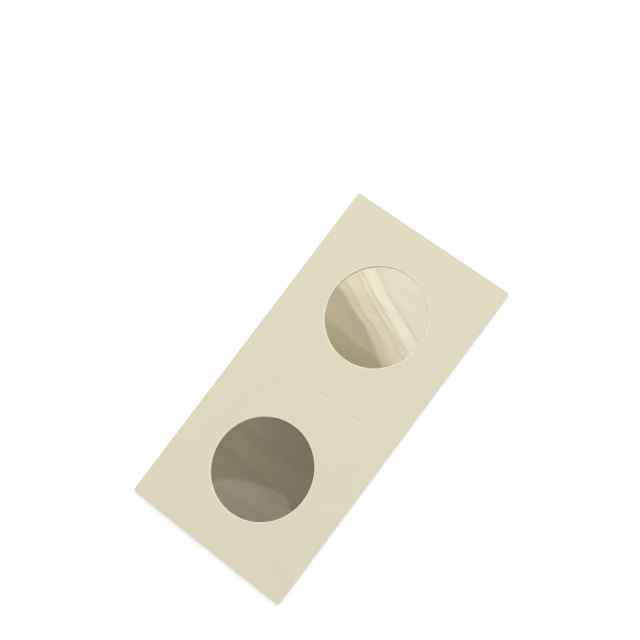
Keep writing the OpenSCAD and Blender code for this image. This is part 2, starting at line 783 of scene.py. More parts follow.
@dataclass(frozen=True)
class AdhesiveFinish(Finish):
    """Laminating adhesive: clear, a little yellow, with patches that wet the card less.

    Args:
        colour: Colour of the light that it scatters.
        least: How solid it is where it wets the card well.
        most: How solid it is where it doesn't.
        patches: Where it doesn't.
        rough: Its roughness where it wets the card well.
        rough_dry: How much rougher it gets where it doesn't.
    """

    colour: Colour = (0.760, 0.715, 0.560, 1.0)
    least: float = 0.07
    most: float = 0.15
    patches: Mottle = Mottle(0.45, 7.0, 0.66, (0.42, 0.70))
    rough: float = 0.5
    rough_dry: float = 0.2

    def surface(self, tree: Tree) -> Wire:
        """The adhesive's shader.

        Args:
            tree: The tree to build in.

        Returns:
            A Transparent shader mixed with a Principled one.
        """
        patches = self.patches.level(tree, self.rest(tree))
        dry = self.least + (self.most - self.least) * self.patches.show(patches)
        look = {"Base Color": self.colour, "Roughness": self.rough + self.rough_dry * patches}
        coat = tree.node("ShaderNodeBsdfPrincipled", None, look)
        return tree.layer(dry, tree.node("ShaderNodeBsdfTransparent"), coat)


@dataclass(frozen=True)
class SpeckFinish(Finish):
    """Tiny loose things: fibres torn by the blade, and dust on the film.

    Args:
        light: Their lighter colour.
        dark: Their darker colour.
        rough: Their least roughness.
        rough_more: How much rougher the roughest are.
        lots: What makes one lighter or darker.
    """

    light: Colour = (0.80, 0.76, 0.62, 1.0)
    dark: Colour = (0.62, 0.57, 0.43, 1.0)
    rough: float = 0.8
    rough_more: float = 0.1
    lots: Mottle = Mottle(2.7, 1.0, shown=(0.35, 0.65))

    def surface(self, tree: Tree) -> Wire:
        """Their shader.

        Args:
            tree: The tree to build in.

        Returns:
            A Principled shader.
        """
        lot = self.lots.level(tree, self.rest(tree))
        colour = tree.blend(self.lots.show(lot), self.light, self.dark)
        look = {"Base Color": colour, "Roughness": self.rough + self.rough_more * lot}
        return tree.node("ShaderNodeBsdfPrincipled", None, look)


@dataclass(frozen=True)
class Plan:
    """Points of the blank seen from above, shared by its layers so that their edges line up.

    Args:
        sizes: The flip's main sizes.
        per_side: Steps along each side of a leaf.
        arc_steps: Steps round each free corner.
        band_steps: Steps from the edge of the crease strip to the score.
        flank_steps: Steps down each flank of the score.
    """

    sizes: FlipSizes
    per_side: int = 96
    arc_steps: int = 6
    band_steps: int = 2
    flank_steps: int = 9

    def strip_x(self, inset: float = 0.0) -> Points:
        """Places along the crease, from left to right."""
        reach = self.sizes.half_w - inset
        return np.linspace(-reach, reach, self.per_side + 1)

    def strip_y(self) -> Points:
        """Places across the crease strip.

        Returns:
            Their Y, from the back leaf to the front one.
        """
        s = self.sizes
        band = np.linspace(s.crease_half, s.score_half, self.band_steps + 1)
        flank = np.linspace(s.score_half, 0, self.flank_steps + 1)
        half = np.concatenate([band, flank[1:]])
        return np.concatenate([half, -half[-2::-1]])

    def strip(self, inset: float = 0.0) -> Points:
        """The crease strip as a grid, with a row for each place across it."""
        x, y = np.meshgrid(self.strip_x(inset), self.strip_y())
        return np.stack([x, y], axis=-1)

    def free_edge(self) -> tuple[Points, Points]:
        """The back leaf's three free sides, from the right end of the crease round to the left.

        Returns:
            The points, and the outward direction at each.
        """
        s = self.sizes
        side = self.per_side - self.arc_steps // 2
        rise = np.linspace(s.crease_half, s.leaf_l - s.corner_r, side + 1)
        span = np.linspace(s.half_w - s.corner_r, s.corner_r - s.half_w, self.per_side - self.arc_steps + 1)
        quarter = np.linspace(0, math.pi / 2, self.arc_steps + 1)[:-1]
        places, outward = [], []

        def run(x: Points | float, y: Points | float, angle: Points | float) -> None:
            """Adds points.

            Args:
                x: Their places along the crease.
                y: Their places across it.
                angle: The directions that they face.
            """
            x, y, angle = np.broadcast_arrays(x, y, angle)
            places.append(np.stack([x, y], axis=-1))
            outward.append(np.stack([np.cos(angle), np.sin(angle)], axis=-1))

        def corner(mid_x: float, start: float) -> None:
            """Adds the arc of one free corner."""
            angle = start + quarter
            run(mid_x + s.corner_r * np.cos(angle), s.leaf_l - s.corner_r + s.corner_r * np.sin(angle), angle)

        run(s.half_w, rise[:-1], 0.0)
        corner(s.half_w - s.corner_r, 0.0)
        run(span[:-1], s.leaf_l, math.pi / 2)
        corner(s.corner_r - s.half_w, math.pi / 2)
        run(-s.half_w, rise[::-1], math.pi)
        return np.concatenate(places), np.concatenate(outward)

    def leaf_loop(self, leaf: Leaf, inset: float = 0.0) -> Points:
        """A leaf's outline, which starts along the crease and ends at its left side.

        Args:
            leaf: The leaf.
            inset: How far inside the outline it runs on the free sides.

        Returns:
            The points of a closed loop.
        """
        places, outward = self.free_edge()
        crease = self.strip_x(inset)[:-1]
        shut = np.stack([crease, np.full_like(crease, self.sizes.crease_half)], axis=-1)
        loop = np.concatenate([shut, (places - inset * outward)[:-1]])
        return loop * (1, leaf.value)

    def loop_share(self) -> Points:
        """How far round a leaf's loop each of its points is, from 0 to 1."""
        count = len(self.leaf_loop(Leaf.BACK))
        return np.arange(count) / count

    def perimeter(self, inset: Points | float = 0.0) -> Points:
        """The whole blank's outline, anticlockwise from the right end of the crease.

        Args:
            inset: How far inside the outline it runs, once or for each point.

        Returns:
            The points of a closed loop.
        """
        places, outward = self.free_edge()
        across = self.strip_y()[1:-1]
        left = np.stack([np.full_like(across, -self.sizes.half_w), across], axis=-1)
        flip = (1, -1)
        loop = np.concatenate([places, left, places[::-1] * flip, left[::-1] * (-1, 1)])
        ends = np.tile((1.0, 0.0), (len(across), 1))
        facing = np.concatenate([outward, -ends, outward[::-1] * flip, ends])
        return loop - np.reshape(inset, (-1, 1)) * facing

    def circle(self, leaf: Leaf, radius: Points | float) -> Points:
        """A circle round a window's centre, whose points face those of the leaf's outline.

        Args:
            leaf: The leaf.
            radius: Its radius, once or for each point.

        Returns:
            The points of a closed loop.
        """
        centre = self.sizes.window_centre(leaf)
        away = self.leaf_loop(leaf) - centre
        away /= np.linalg.norm(away, axis=-1, keepdims=True)
        return centre + np.reshape(radius, (-1, 1)) * away

    def rings(self, leaf: Leaf, radius: float, inset: float, shares: Points) -> Points:
        """Rings from a circle round the window out to the leaf's outline.

        Args:
            leaf: The leaf.
            radius: Radius of the first ring.
            inset: How far inside the outline the last one runs.
            shares: Each ring's place between the two, from 0 to 1.

        Returns:
            A closed grid with a row for each ring.
        """
        inner = self.circle(leaf, radius)
        outer = self.leaf_loop(leaf, inset)
        return inner + np.reshape(shares, (-1, 1, 1)) * (outer - inner)


def lift(plan: Points, height: Points | float) -> Points:
    """Gives points in plan a height."""
    return np.concatenate([plan, np.broadcast_to(height, plan.shape[:-1])[..., None]], axis=-1)


class Skin:
    """Gathers grids of points and welds them into one closed skin."""

    # Points nearer than this are one point
    WELD = 0.0004 * MM
    # Faces that meet at more than this have a sharp edge between them
    SHARP = math.radians(32)

    def __init__(self, name: str) -> None:
        """Starts an empty skin.

        Args:
            name: Name of the piece.
        """
        self.name = name
        self.points: list[Points] = []
        self.faces: list[Points] = []
        self.cuts: list[Points] = []
        self.count = 0

    def add(self, grid: Points, closed: bool = False, cut: Points | float = 0.0) -> None:
        """Adds a grid of points.

        Args:
            grid: Points by row and column.
            closed: Whether its last column joins its first.
            cut: How raw the surface is, from 0 to 1, once, for each row or for each point, which on the board
                also places painted highlight and painted light.
        """
        high, wide = grid.shape[:2]
        index = np.arange(high * wide).reshape(high, wide)
        if closed:
            index = np.concatenate([index, index[:, :1]], axis=1)
        quads = np.stack([index[:-1, :-1], index[:-1, 1:], index[1:, 1:], index[1:, :-1]], axis=-1)
        by_row = cut if np.ndim(cut) > 1 else np.reshape(cut, (-1, 1))
        raw = np.broadcast_to(by_row, (high, wide)).ravel()
        self.points.append(grid.reshape(-1, 3))
        self.faces.append(quads.reshape(-1, 4) + self.count)
        self.cuts.append(raw[quads.ravel()])
        self.count += high * wide

    def weld(self, material: bpy.types.Material) -> bpy.types.Object:
        """Joins the grids.

        Args:
            material: What the piece is made of.

        Returns:
            The piece, whose points remember where they lie on the flat flip.
        """
        mesh = bpy.data.meshes.new(self.name)
        mesh.from_pydata(np.concatenate(self.points).tolist(), [], np.concatenate(self.faces).tolist())
        mesh.attributes.new(CUT, "FLOAT", "CORNER").data.foreach_set("value", np.concatenate(self.cuts))
        work = bmesh.new()
        work.from_mesh(mesh)
        bmesh.ops.remove_doubles(work, verts=work.verts, dist=self.WELD)
        bmesh.ops.recalc_face_normals(work, faces=work.faces)
        open_edges = sum(len(edge.link_faces) != 2 for edge in work.edges)
        work.to_mesh(mesh)
        work.free()
        mesh.shade_smooth()
        mesh.set_sharp_from_angle(angle=self.SHARP)
        mesh.materials.append(material)
        piece = bpy.data.objects.new(self.name, mesh)
        bpy.context.scene.collection.objects.link(piece)
        remember_rest(piece)
        LOG.info("%s: %d faces, %d open edges", self.name, len(mesh.polygons), open_edges)
        return piece


def remember_rest(piece: bpy.types.Object) -> None:
    """Keeps each point's place on the flat flip, in millimetres, as an attribute of the mesh.

    Args:
        piece: The piece, which lies flat.
    """
    mesh = piece.data
    places = np.empty(len(mesh.vertices) * 3, dtype=np.float32)
    mesh.vertices.foreach_get("co", places)
    mesh.attributes.new(REST, "FLOAT_VECTOR", "POINT").data.foreach_set("vector", places / MM)


def bend(piece: bpy.types.Object, sizes: FlipSizes) -> None:
    """Lets a piece bend with the crease."""
    edge = sizes.crease_half
    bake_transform(piece, Leaf.BACK.body, Leaf.FRONT.body, start=(0, edge, 0), end=(0, -edge, 0))


def cross_crease(piece: bpy.types.Object, layer: str, strip: str, sizes: FlipSizes) -> None:
    """Lets a piece stand for one layer of both leaves, and bend with the crease.

    Args:
        piece: The piece.
        layer: Name of that layer of the leaves.
        strip: Name of the crease's node in that layer.
        sizes: The flip's main sizes.
    """
    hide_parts(Leaf.BACK.node(layer), Leaf.FRONT.node(layer), strip)
    bend(piece, sizes)


@dataclass
class CardBlank:
    """The card: one die-cut blank with two windows and a scored crease.

    Args:
        plan: The blank's points in plan.
        finish: What the board looks like.
        rim_roll: Radius of the roll that the punch leaves at a window's edge.
        edge_roll: Radius of the roll along the outer edges.
        roll_steps: Steps round a roll.
        wall_steps: Steps down a cut wall.
        rows_alike: Rows of a cut wall that stray alike.
        ragged: How far a cut wall strays.
        lean: How much narrower a window is at the inner face, since the blade is a wedge.
        press: How far the punch has pulled the face down at a window's edge.
        press_w: Width of the collar that it has pulled down.
        collar_rings: Rings across that collar.
        stretch_and_highlight: How raw the pressed skin at an edge is, against a cut face, which pales it:
            partly stretched skin, partly a painted highlight.
        stretch_and_highlight_fade: How fast that fades across the collar, as a power.
        score_stray: How far the score wanders off its line.
        score_rough: How uneven its depth is.
        calm_ends: How near to its ends the score stays uneven, as a power.
        lip: How raw the skin is made along the score's front shoulder, which pales it: partly stretched skin,
            partly a painted highlight, since only the flank facing the light gets it.
        lip_share: Where that ends on the score's flank, as a share of the score's half width.
        lip_swing: Its mean strength along the crease, and how far it swings from that.
        face_rings: Rings on the outer face of a leaf.
        crowding: How close those rings crowd round a window, as a power.
        back_rings: Rings on its inner face.
    """

    plan: Plan
    finish: BoardFinish
    rim_roll: float = 0.05 * MM
    edge_roll: float = 0.05 * MM
    roll_steps: int = 5
    wall_steps: int = 5
    rows_alike: int = 3
    ragged: float = 0.012 * MM
    lean: float = 0.09 * MM
    press: float = 0.05 * MM
    press_w: float = 0.42 * MM
    collar_rings: int = 8
    stretch_and_highlight: float = 0.5
    stretch_and_highlight_fade: float = 1.5
    score_stray: float = 0.018 * MM
    score_rough: float = 0.018 * MM
    calm_ends: int = 24
    lip: float = 0.34
    lip_share: float = 0.6
    lip_swing: Span = (0.75, 0.5)
    face_rings: int = 14
    crowding: float = 1.4
    back_rings: int = 5

    def profile(self, roll: float) -> tuple[Points, Points]:
        """Section of a cut wall, from the outer face down.

        Args:
            roll: Radius of the roll at its top.

        Returns:
            How far each point lies behind the wall's line, and how far down.
        """
        turn = np.linspace(0, math.pi / 2, self.roll_steps + 1)
        wall = np.linspace(roll, self.plan.sizes.card_t, self.wall_steps + 1)[1:]
        back = np.concatenate([roll * (1 - np.sin(turn)), np.zeros(self.wall_steps)])
        down = np.concatenate([roll * (1 - np.cos(turn)), wall])
        return back, down

    def groove(self, strip: Points) -> Points:
        """How deep the score is: a valley with soft shoulders.

        Args:
            strip: Points in plan.

        Returns:
            The depth at each.
        """
        s = self.plan.sizes
        share = np.clip(np.abs(strip[..., 1]) / s.score_half, 0, 1)
        return (s.card_t - s.web_t) * np.cos(0.5 * math.pi * share) ** 2

    def rawness(self, rows: int) -> Points:
        """How raw each row of a wall is: the roll keeps its skin, paling partly as a painted highlight, and
        the cut below it doesn't and is lightened as painted light.
        """
        return np.interp(np.arange(rows), (0, self.roll_steps), (self.stretch_and_highlight, 1))

    def faces(self, skin: Skin, leaf: Leaf) -> None:
        """Adds a leaf's outer face, with its pressed collar, and its inner face.

        Args:
            skin: The card's skin.
            leaf: The leaf.
        """
        s = self.plan.sizes
        edge = s.window_r + self.rim_roll
        share = np.linspace(0, 1, self.collar_rings + 1)
        collar = np.array([self.plan.circle(leaf, edge + self.press_w * part) for part in share])
        sunk = self.press * (1 - share[:, None]) ** 2
        # The collar pales towards the edge: partly stretched skin, partly a painted highlight
        stretch_and_highlight = self.stretch_and_highlight * (1 - share) ** self.stretch_and_highlight_fade
        skin.add(lift(collar, s.outer_z - sunk), closed=True, cut=stretch_and_highlight)
        spread = np.linspace(0, 1, self.face_rings + 1) ** self.crowding
        face = self.plan.rings(leaf, edge + self.press_w, self.edge_roll, spread)
        skin.add(lift(face, s.outer_z), closed=True)
        even = np.linspace(0, 1, self.back_rings + 1)
        skin.add(lift(self.plan.rings(leaf, s.window_r - self.lean, 0.0, even), s.card_z), closed=True)

    def window_wall(self, skin: Skin, leaf: Leaf) -> None:
        """Adds the rolled edge and the cut wall of a leaf's window.

        Args:
            skin: The card's skin.
            leaf: The leaf.
        """
        s = self.plan.sizes
        back, down = self.profile(self.rim_roll)
        share = self.plan.loop_share()
        last = len(down) - 1
        rows = []
        for row, (offset, depth) in enumerate(zip(back, down)):
            variant = 10 * leaf.value + row // self.rows_alike
            stray = Wobble.WINDOW_WALL.along(share, variant) if 1 < row < last else 0.0
            lean = self.lean * max(0.0, row - self.roll_steps) / self.wall_steps
            radius = s.window_r + offset - lean + self.ragged * stray
            sunk = self.press * (1 - depth / s.card_t)
            rows.append(lift(self.plan.circle(leaf, radius), s.outer_z - depth - sunk))
        skin.add(np.array(rows), closed=True, cut=self.rawness(len(rows)))

    def outer_wall(self, skin: Skin) -> None:
        """Adds the wall round the whole blank, which dips at the ends of the score.

        Args:
            skin: The card's skin.
        """
        s = self.plan.sizes
        back, down = self.profile(self.edge_roll)
        top = s.card_t - self.groove(self.plan.perimeter())
        share = np.arange(len(top)) / len(top)
        last = len(down) - 1
        rows = []
        for row, (offset, depth) in enumerate(zip(back, down)):
            variant = row // self.rows_alike
            stray = 1 + Wobble.OUTER_WALL.along(share, variant) if self.roll_steps < row < last else 0.0
            loop = self.plan.perimeter(offset + self.ragged * stray)
            rows.append(lift(loop, s.card_z + top * (1 - depth / s.card_t)))
        skin.add(np.array(rows), closed=True, cut=self.rawness(len(rows)))

    def crease(self, skin: Skin) -> None:
        """Adds the scored strip's outer and inner faces.

        Args:
            skin: The card's skin.
        """
        s = self.plan.sizes
        strip = self.plan.strip(self.edge_roll)
        depth = self.groove(strip)
        along = np.linspace(0, 1, strip.shape[1])
        calm = 1 - np.abs(2 * along - 1) ** self.calm_ends
        near = np.clip((s.crease_half - np.abs(strip[..., 1])) / (s.crease_half - s.score_half), 0, 1)
        strip[..., 1] += self.score_stray * Wobble.SCORE_LINE.along(along) * calm * near
        rough = self.score_rough * (1 + Wobble.SCORE_DEPTH.along(along)) * calm * depth / depth.max()
        # The score's front shoulder pales: partly stretched skin, partly a painted highlight on the flank
        # that faces the light, swinging along the crease
        ridge = (-s.crease_half, -(s.crease_half + s.score_half) / 2, -self.lip_share * s.score_half)
        mean, swing = self.lip_swing
        pale_and_highlight = self.lip * np.interp(strip[..., 1], ridge, (0.0, 1.0, 0.0))
        pale_and_highlight = pale_and_highlight * (mean + swing * Wobble.SCORE_LIP.along(along))
        skin.add(lift(strip, s.outer_z - depth - rough), cut=pale_and_highlight)
        skin.add(lift(self.plan.strip(), s.card_z))

    def build(self) -> bpy.types.Object:
        """Builds the card.

        Returns:
            The piece.
        """
        skin = Skin("card_blank")
        for leaf in Leaf:
            self.faces(skin, leaf)
            self.window_wall(skin, leaf)
        self.outer_wall(skin)
        self.crease(skin)
        card = skin.weld(self.finish.material())
        cross_crease(card, "card", "crease_web", self.plan.sizes)
        return card


@dataclass
class FilmSheet:
    """The clear film, in one piece behind both leaves, which ripples a little where it is free.

    Args:
        plan: The blank's points in plan.
        finish: What the film looks like.
        thick: Its thickness.
        disc_rings: Rings in a window.
        band_rings: Rings from a window to the leaf's edge.
        ripple: Height of its ripples.
        ripple_w: Distance from one ripple to the next.
        ripple_turn: Direction across the ripples, in radians.
        bow: How far a ripple bows off its line, as a share of that distance.
        bow_w: Length of one radian of that bow along its line.
        swing: The ripples' part in the height, beside a plain dome's.
        fine_swing: The part of the finer ripples on them.
        fine_pace: How many finer ripples there are for each.
    """

    plan: Plan
    finish: FilmFinish
    thick: float = 0.048 * MM
    disc_rings: int = 22
    band_rings: int = 4
    ripple: float = 0.012 * MM
    ripple_w: float = 26.0 * MM
    ripple_turn: float = math.radians(62)
    bow: float = 0.10
    bow_w: float = 3.1 * MM
    swing: float = 0.7
    fine_swing: float = 0.12
    fine_pace: float = 2.3

    def swell(self, leaf: Leaf, places: Points) -> Points:
        """How far the free film stands up.

        Args:
            leaf: The leaf that it lies in.
            places: Places in its window, in plan.

        Returns:
            The height at each.
        """
        s = self.plan.sizes
        away = places - s.window_centre(leaf)
        dome = np.clip(1 - (np.linalg.norm(away, axis=-1) / s.window_r) ** 2, 0, 1)
        sin, cos = math.sin(self.ripple_turn), math.cos(self.ripple_turn)
        across, along = away @ np.array([cos, sin]), away @ np.array([-sin, cos])
        ripples = across / self.ripple_w + self.bow * np.sin(along / self.bow_w)
        phase = 2 * math.pi * ripples + leaf.value
        fine = self.fine_swing * np.sin(self.fine_pace * phase + 1)
        return self.ripple * dome * (1 + self.swing * np.sin(phase) + fine)

    def build(self) -> bpy.types.Object:
        """Builds the film.

        Returns:
            The piece.
        """
        s = self.plan.sizes
        skin = Skin("film_sheet")
        radii = np.linspace(0, s.window_r, self.disc_rings + 1)
        spread = np.linspace(0, 1, self.band_rings + 1)
        for level in (0.0, self.thick):
            for leaf in Leaf:
                disc = np.array([self.plan.circle(leaf, radius) for radius in radii])
                skin.add(lift(disc, level + self.swell(leaf, disc)), closed=True)
                skin.add(lift(self.plan.rings(leaf, s.window_r, 0.0, spread), level), closed=True)
            skin.add(lift(self.plan.strip(), level))
        rim = self.plan.perimeter()
        skin.add(np.array([lift(rim, self.thick), lift(rim, 0.0)]), closed=True, cut=1.0)
        film = skin.weld(self.finish.material())
        cross_crease(film, "film", "crease_film", s)
        return film


@dataclass
class AdhesiveCoat:
    """The laminating adhesive between the film and the card, open at the windows.

    Args:
        plan: The blank's points in plan.
        finish: What it looks like.
        air: Space left above and below it, so that its faces don't fall on its neighbours'.
        rings: Rings from its opening to the leaf's edge.
        creep: How unevenly it ends round a window.
    """

    plan: Plan
    finish: AdhesiveFinish
    air: float = 0.002 * MM
    rings: int = 4
    creep: float = 0.04 * MM

    def build(self) -> bpy.types.Object:
        """Builds the coat.

        Returns:
            The piece.
        """
        s = self.plan.sizes
        levels = (s.adhesive_z + self.air, s.card_z - self.air)
        skin = Skin("adhesive_coat")
        share = self.plan.loop_share()
        spread = np.linspace(0, 1, self.rings + 1)[1:]
        for leaf in Leaf:
            stray = Wobble.ADHESIVE_EDGE.along(share, leaf.value)
            edge = self.plan.circle(leaf, s.adhesive_r + self.creep * stray)
            face = np.concatenate([edge[None], self.plan.rings(leaf, s.adhesive_r, 0.0, spread)])
            for level in levels:
                skin.add(lift(face, level), closed=True)
            skin.add(np.array([lift(edge, level) for level in levels]), closed=True)
        for level in levels:
            skin.add(lift(self.plan.strip(), level))
        rim = self.plan.perimeter()
        skin.add(np.array([lift(rim, level) for level in levels]), closed=True)
        coat = skin.weld(self.finish.material())
        cross_crease(coat, "adhesive", "crease_adhesive", s)
        return coat


class Growth(Tree):
    """A Geometry Nodes tree with named inputs, which is run once and kept as a plain mesh."""

    def __init__(self, name: str, **inputs: str) -> None:
        """Starts a tree.

        Args:
            name: Its name.
            inputs: The kind of each named input, besides its material.
        """
        super().__init__(bpy.data.node_groups.new(name, "GeometryNodeTree"))
        for label, kind in (inputs | {"Material": "Material"}).items():
            self.tree.interface.new_socket(label, in_out="INPUT", socket_type=f"NodeSocket{kind}")
        self.tree.interface.new_socket("Geometry", in_out="OUTPUT", socket_type="NodeSocketGeometry")
        self.source = self.node("NodeGroupInput")

    def given(self, label: str) -> Wire:
        """A named input."""
        return self.source.also(label)

    def random(self, low: Any, high: Any, draw: Draw) -> Wire:
        """A random number for each point.

        Args:
            low: The least that it can be.
            high: The most.
            draw: Which draw it is.

        Returns:
            The number.
        """
        inputs = {"Min_001": low, "Max_001": high, "Seed": draw.value}
        return self.node("FunctionNodeRandomValue", {"data_type": "FLOAT"}, inputs, "Value_001")

    def place(self, x: Any, y: Any, z: Any) -> Wire:
        """A vector from its three parts."""
        return self.node("ShaderNodeCombineXYZ", None, {"X": x, "Y": y, "Z": z})

    def points(self, spot: Wire, name: str, value: Wire) -> tuple[Wire, Wire]:
        """Points, as many as the input Count says, which each keep a value.

        Args:
            spot: Where they lie.
            name: Name of the value.
            value: The value.

        Returns:
            The points, and the value as it is read back where they are used.
        """
        points = self.node("GeometryNodePoints", None, {"Count": self.given("Count"), "Position": spot})
        kept = self.node(
            "GeometryNodeStoreNamedAttribute",
            {"data_type": "FLOAT", "domain": "POINT"},
            {"Geometry": points, "Name": name, "Value": value},
        )
        settings = {"data_type": "FLOAT"}
        return kept, self.node("GeometryNodeInputNamedAttribute", settings, {"Name": name}, "Attribute")

    def strew(self, points: Wire, instance: Wire, rotation: Wire, scale: Wire) -> None:
        """Sets a shape on points and ends the tree: real meshes, with their material.

        Args:
            points: Where the shapes lie.
            instance: The shape.
            rotation: How each is turned.
            scale: How large each is.
        """
        inputs = {"Points": points, "Instance": instance, "Rotation": rotation, "Scale": scale}
        strewn = self.node("GeometryNodeInstanceOnPoints", None, inputs)
        real = self.node("GeometryNodeRealizeInstances", None, {"Geometry": strewn})
        look = {"Geometry": real, "Material": self.given("Material")}
        self.node("NodeGroupOutput", None, {"Geometry": self.node("GeometryNodeSetMaterial", None, look)})

    @staticmethod
    def clean(mesh: bpy.types.Mesh) -> None:
        """Drops what the points kept while growing, or took over from a piece that they lie on.

        Points strewn on a piece that bends take its weights along, and what they become is rigid.

        Args:
            mesh: The grown mesh, which keeps its shape and its places on the flat flip.
        """
        kept = ("position", REST)
        for name in mesh.attributes.keys():
            found = mesh.attributes[name]
            if found.domain == "POINT" and not found.is_internal and name not in kept:
                mesh.attributes.remove(found)

    def grow(self, name: str, **values: Any) -> bpy.types.Object:
        """Runs the tree.

        Args:
            name: Name of the piece.
            values: A value for each named input.

        Returns:
            The piece, as a plain mesh. What is strewn on another piece has its places from there.
        """
        piece = bpy.data.objects.new(name, bpy.data.meshes.new(name))
        bpy.context.scene.collection.objects.link(piece)
        modifier = piece.modifiers.new("Growth", "NODES")
        modifier.node_group = self.tree
        for item in self.tree.interface.items_tree:
            if item.in_out == "INPUT":
                modifier[item.identifier] = values[item.name]
        depsgraph = bpy.context.evaluated_depsgraph_get()
        mesh = bpy.data.meshes.new_from_object(piece.evaluated_get(depsgraph), depsgraph=depsgraph)
        piece.modifiers.remove(modifier)
        mesh.name = name
        piece.data = mesh
        self.clean(mesh)
        if REST not in mesh.attributes:
            remember_rest(piece)
        LOG.info("%s: %d faces", name, len(mesh.polygons))
        return piece


@dataclass
class TornFibres:
    """Fibres that the blade has torn out of the board, along the windows' rims and the score.

    Args:
        sizes: The flip's main sizes.
        finish: What they look like.
        rim_count: How many stand round a window.
        rim_odds: How many more the back window has, and the front one fewer.
        score_count: How many stand along the score.
        longest: Length of the longest.
        shortest: Length of the shortest.
        thick: Radius of a fibre of half the greatest length.
        sides: Sides of their section.
        joints: Steps along each.
        middle: Control point at the middle of a fibre of length 1.
        tip: Its end.
        sunk: How far behind a window's wall their roots lie.
        clear: Share of the card's thickness, at each face, in which no root lies.
        lips: Shares of the score's half width between which the roots lie.
        roll: How far a fibre may be rolled round its own length, in radians.
        tilt: How far it may tilt up or down, in radians.
        rim_spread: How far it may turn from a window's centre, in radians.
        score_spread: How far it may turn from the score's middle, in radians.
    """

    sizes: FlipSizes
    finish: SpeckFinish
    rim_count: int = 110
    rim_odds: int = 7
    score_count: int = 130
    longest: float = 0.34 * MM
    shortest: float = 0.07 * MM
    thick: float = 0.007 * MM
    sides: int = 4
    joints: int = 4
    middle: Place = (0.55, 0.22, 0.0)
    tip: Place = (1.0, -0.06, 0.05)
    sunk: float = 0.01 * MM
    clear: float = 0.3
    lips: Span = (0.55, 0.95)
    roll: float = 6.28
    tilt: float = 0.35
    rim_spread: float = 1.3
    score_spread: float = 1.2

    def strand(self, tree: Growth) -> Wire:
        """One bent fibre, a unit long.

        Args:
            tree: The tree to build in.

        Returns:
            Its mesh.
        """
        shape = {"Start": (0.0, 0.0, 0.0), "Middle": self.middle, "End": self.tip}
        line = tree.node("GeometryNodeCurveQuadraticBezier", None, {"Resolution": self.joints} | shape)
        ring = {"Resolution": self.sides, "Radius": self.thick / (0.5 * self.longest)}
        section = tree.node("GeometryNodeCurvePrimitiveCircle", {"mode": "RADIUS"}, ring)
        skin = {"Curve": line, "Profile Curve": section, "Fill Caps": True}
        return tree.node("GeometryNodeCurveToMesh", None, skin)

    def sow(self, tree: Growth, points: Wire, heading: Wire) -> None:
        """Sets fibres on points and ends the tree.

        Args:
            tree: The tree.
            points: Where they stand.
            heading: Which way each leans, round Z.
        """
        length = tree.random(self.shortest, self.longest, Draw.FIBRE_LENGTH)
        roll = tree.random(0.0, self.roll, Draw.FIBRE_ROLL)
        tilt = tree.random(-self.tilt, self.tilt, Draw.FIBRE_TILT)
        tree.strew(points, self.strand(tree), tree.place(roll, tilt, heading), length)

    def round_window(self) -> Growth:
        """Plants fibres on the wall of a window.

        Returns:
            The tree.
        """
        inputs = {"Count": "Int", "Radius": "Float", "Centre": "Vector", "Low": "Float", "High": "Float"}
        tree = Growth("fibres_round_window", **inputs)
        angle = tree.random(0.0, 2 * math.pi, Draw.RIM_ANGLE)
        radius = tree.given("Radius")
        height = tree.random(tree.given("Low"), tree.given("High"), Draw.RIM_HEIGHT)
        spot = tree.place(radius * tree.math("COSINE", angle), radius * angle.sin(), height)
        points, angle = tree.points(tree.vector("ADD", spot, tree.given("Centre")), "angle", angle)
        stray = tree.random(-self.rim_spread, self.rim_spread, Draw.RIM_HEADING)
        self.sow(tree, points, angle + math.pi + stray)
        return tree

    def along_score(self) -> Growth:
        """Plants fibres along both lips of the score.

        Returns:
            The tree.
        """
        inputs = {"Count": "Int", "Reach": "Float", "Lip": "Float", "Low": "Float", "High": "Float"}
        tree = Growth("fibres_along_score", **inputs)
        side = tree.math("SIGN", tree.random(-1.0, 1.0, Draw.SCORE_SIDE))
        spot = tree.place(
            tree.random(-1.0, 1.0, Draw.SCORE_PLACE) * tree.given("Reach"),
            side * tree.given("Lip") * tree.random(*self.lips, Draw.SCORE_LIP),
            tree.random(tree.given("Low"), tree.given("High"), Draw.SCORE_HEIGHT),
        )
        points, side = tree.points(spot, "side", side)
        stray = tree.random(-self.score_spread, self.score_spread, Draw.SCORE_HEADING)
        self.sow(tree, points, side * (-0.5 * math.pi) + stray)
        return tree

    def build(self) -> list[bpy.types.Object]:
        """Builds the fibres.

        Returns:
            One piece for each leaf's window and one for the score.
        """
        s = self.sizes
        material = self.finish.material()
        tree = self.round_window()
        room = self.clear * s.card_t
        made = []
        for leaf in Leaf:
            piece = tree.grow(
                f"window_fibres_{leaf.name.lower()}",
                Count=self.rim_count + self.rim_odds * leaf.value,
                Radius=s.window_r + self.sunk,
                Centre=(*s.window_centre(leaf), 0.0),
                Low=s.card_z + room,
                High=s.outer_z - room,
                Material=material,
            )
            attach(piece, leaf.body)
            made.append(piece)
        piece = self.along_score().grow(
            "score_fibres",
            Count=self.score_count,
            Reach=s.half_w - self.longest,
            Lip=s.score_half,
            Low=s.card_z + s.web_t,
            High=s.outer_z - room,
            Material=material,
        )
        bend(piece, s)
        made.append(piece)
        return made


